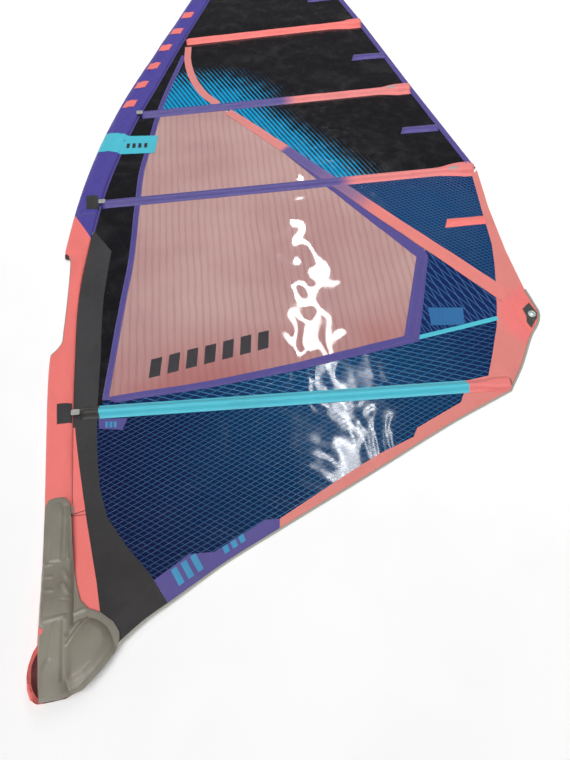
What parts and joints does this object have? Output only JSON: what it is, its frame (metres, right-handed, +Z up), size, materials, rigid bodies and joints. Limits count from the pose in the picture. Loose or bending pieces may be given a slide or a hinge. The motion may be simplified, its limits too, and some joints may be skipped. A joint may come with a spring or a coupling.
{
  "type": "windsurf sail",
  "caption": "Windsurf sail laid flat: luff sleeve with a boom cut-out, film panels, tensioned battens, tack fairing and head cap.",
  "frame": {"origin": "centre of the sail's box, on the ground it lies on", "axes": "+Y up the luff from the tack to the head, +X aft from the luff to the clew, +Z up off the ground"},
  "size_m": [1.8714, 4.1732, 0.0666],
  "materials": {
    "coral_cloth": "woven polyester with a satin coating",
    "purple_cloth": "woven polyester with a satin coating",
    "charcoal_cloth": "stretch cloth, matt",
    "black_film": "printed laminate film",
    "blue_film": "laminate film with reinforcing threads",
    "window_film": "clear monofilm over a pale ground",
    "aqua_tape": "coated pocket cloth",
    "fairing_foam": "moulded foam with a fine grain",
    "black_plastic": "moulded nylon",
    "steel": "stainless",
    "glass_rod": "pultruded glass fibre",
    "webbing": "flat woven webbing"
  },
  "bodies": {
    "sail": {"mast_sleeve_lower": "coral_cloth", "mast_sleeve_upper": "purple_cloth", "sleeve_gusset": "coral_cloth", "luff_panel_lower": "charcoal_cloth", "luff_panel_upper": "black_film", "window_lower": "window_film", "window_upper": "window_film", "aft_panel": "blue_film", "boom_panel": "blue_film", "leech_panel": "blue_film", "foot_panel": "blue_film", "body_panel_middle": "black_film", "body_panel_upper": "black_film", "body_panel_top": "black_film", "head_panel": "purple_cloth", "clew_patch": "coral_cloth", "foot_tape": "purple_cloth", "load_band": "coral_cloth", "window_tape_aft": "purple_cloth", "window_tape_lower": "purple_cloth", "leech_tape": "purple_cloth", "clew_plate": "black_plastic", "clew_eyelet": "steel", "fairing_base": "fairing_foam", "fairing_tongue": "fairing_foam", "tack_webbing": "webbing", "strap_buckle": "black_plastic", "batten_pocket_1": "aqua_tape", "batten_1": "glass_rod", "tensioner_housing_1": "black_plastic", "batten_pocket_2": "purple_cloth", "batten_2": "glass_rod", "tensioner_housing_2": "black_plastic", "batten_pocket_3": "purple_cloth", "batten_3": "glass_rod", "tensioner_housing_3": "black_plastic", "batten_pocket_4": "coral_cloth", "batten_4": "glass_rod", "tensioner_housing_4": "black_plastic", "batten_pocket_5": "purple_cloth", "batten_5": "glass_rod", "tensioner_housing_5": "black_plastic", "mini_batten_1": "coral_cloth", "mini_batten_2": "purple_cloth", "mini_batten_3": "purple_cloth", "mini_batten_4": "purple_cloth"},
    "fairing_flap": {"fairing_flap": "fairing_foam"},
    "tack_block": {"pulley_block": "steel", "pulley_axle": "steel"},
    "sheave_1": {"pulley_sheave_1": "black_plastic"},
    "sheave_2": {"pulley_sheave_2": "black_plastic"},
    "sheave_3": {"pulley_sheave_3": "black_plastic"},
    "head_cap": {"head_cap": "black_plastic", "head_strap": "webbing"},
    "buckle_lever": {"buckle_lever": "steel"},
    "tensioner_1": {"tensioner_screw_1": "steel"},
    "tensioner_2": {"tensioner_screw_2": "steel"},
    "tensioner_3": {"tensioner_screw_3": "steel"},
    "tensioner_4": {"tensioner_screw_4": "steel"},
    "tensioner_5": {"tensioner_screw_5": "steel"}
  },
  "joints": [
    {"name": "fairing_open", "type": "hinge", "parent": "sail", "child": "fairing_flap", "pos_m": [-0.91396, -2.08689, 0.0356], "axis": [0, -0.9985, 0.054], "range_deg": [0, 70]},
    {"name": "tack_block_swing", "type": "hinge", "parent": "sail", "child": "tack_block", "pos_m": [-0.77396, -1.98489, 0.03085], "axis": [-1, 0, 0], "range_deg": [0, 10]},
    {"name": "sheave_1_spin", "type": "hinge", "parent": "tack_block", "child": "sheave_1", "pos_m": [-0.78546, -2.02489, 0.03085], "axis": [1, 0, 0], "continuous": true},
    {"name": "sheave_2_spin", "type": "hinge", "parent": "tack_block", "child": "sheave_2", "pos_m": [-0.77396, -2.02489, 0.03085], "axis": [1, 0, 0], "continuous": true},
    {"name": "sheave_3_spin", "type": "hinge", "parent": "tack_block", "child": "sheave_3", "pos_m": [-0.76246, -2.02489, 0.03085], "axis": [1, 0, 0], "continuous": true},
    {"name": "tensioner_1_turn", "type": "hinge", "parent": "sail", "child": "tensioner_1", "pos_m": [0.69804, -1.33119, 0.0124], "axis": [-0.9959, 0.0905, 0], "range_deg": [0, 1440]},
    {"name": "tensioner_2_turn", "type": "hinge", "parent": "sail", "child": "tensioner_2", "pos_m": [0.92004, -0.24689, 0.0124], "axis": [-0.9995, 0.032, 0], "range_deg": [0, 1440]},
    {"name": "tensioner_3_turn", "type": "hinge", "parent": "sail", "child": "tensioner_3", "pos_m": [0.79804, 0.35131, 0.0124], "axis": [-0.9999, 0.0107, 0], "range_deg": [0, 1440]},
    {"name": "tensioner_4_turn", "type": "hinge", "parent": "sail", "child": "tensioner_4", "pos_m": [0.69004, 0.93311, 0.0124], "axis": [-0.9998, -0.0206, 0], "range_deg": [0, 1440]},
    {"name": "tensioner_5_turn", "type": "hinge", "parent": "sail", "child": "tensioner_5", "pos_m": [0.56604, 1.47711, 0.0124], "axis": [-0.998, -0.0633, 0], "range_deg": [0, 1440]},
    {"name": "head_cap_slide", "type": "slide", "parent": "sail", "child": "head_cap", "axis": [0.4439, 0.8961, 0], "range_m": [0, 0.07]},
    {"name": "buckle_lever_turn", "type": "hinge", "parent": "sail", "child": "buckle_lever", "pos_m": [0.26627, 1.92791, 0.0276], "axis": [-0.8961, 0.4439, 0], "range_deg": [0, 70]}
  ]
}
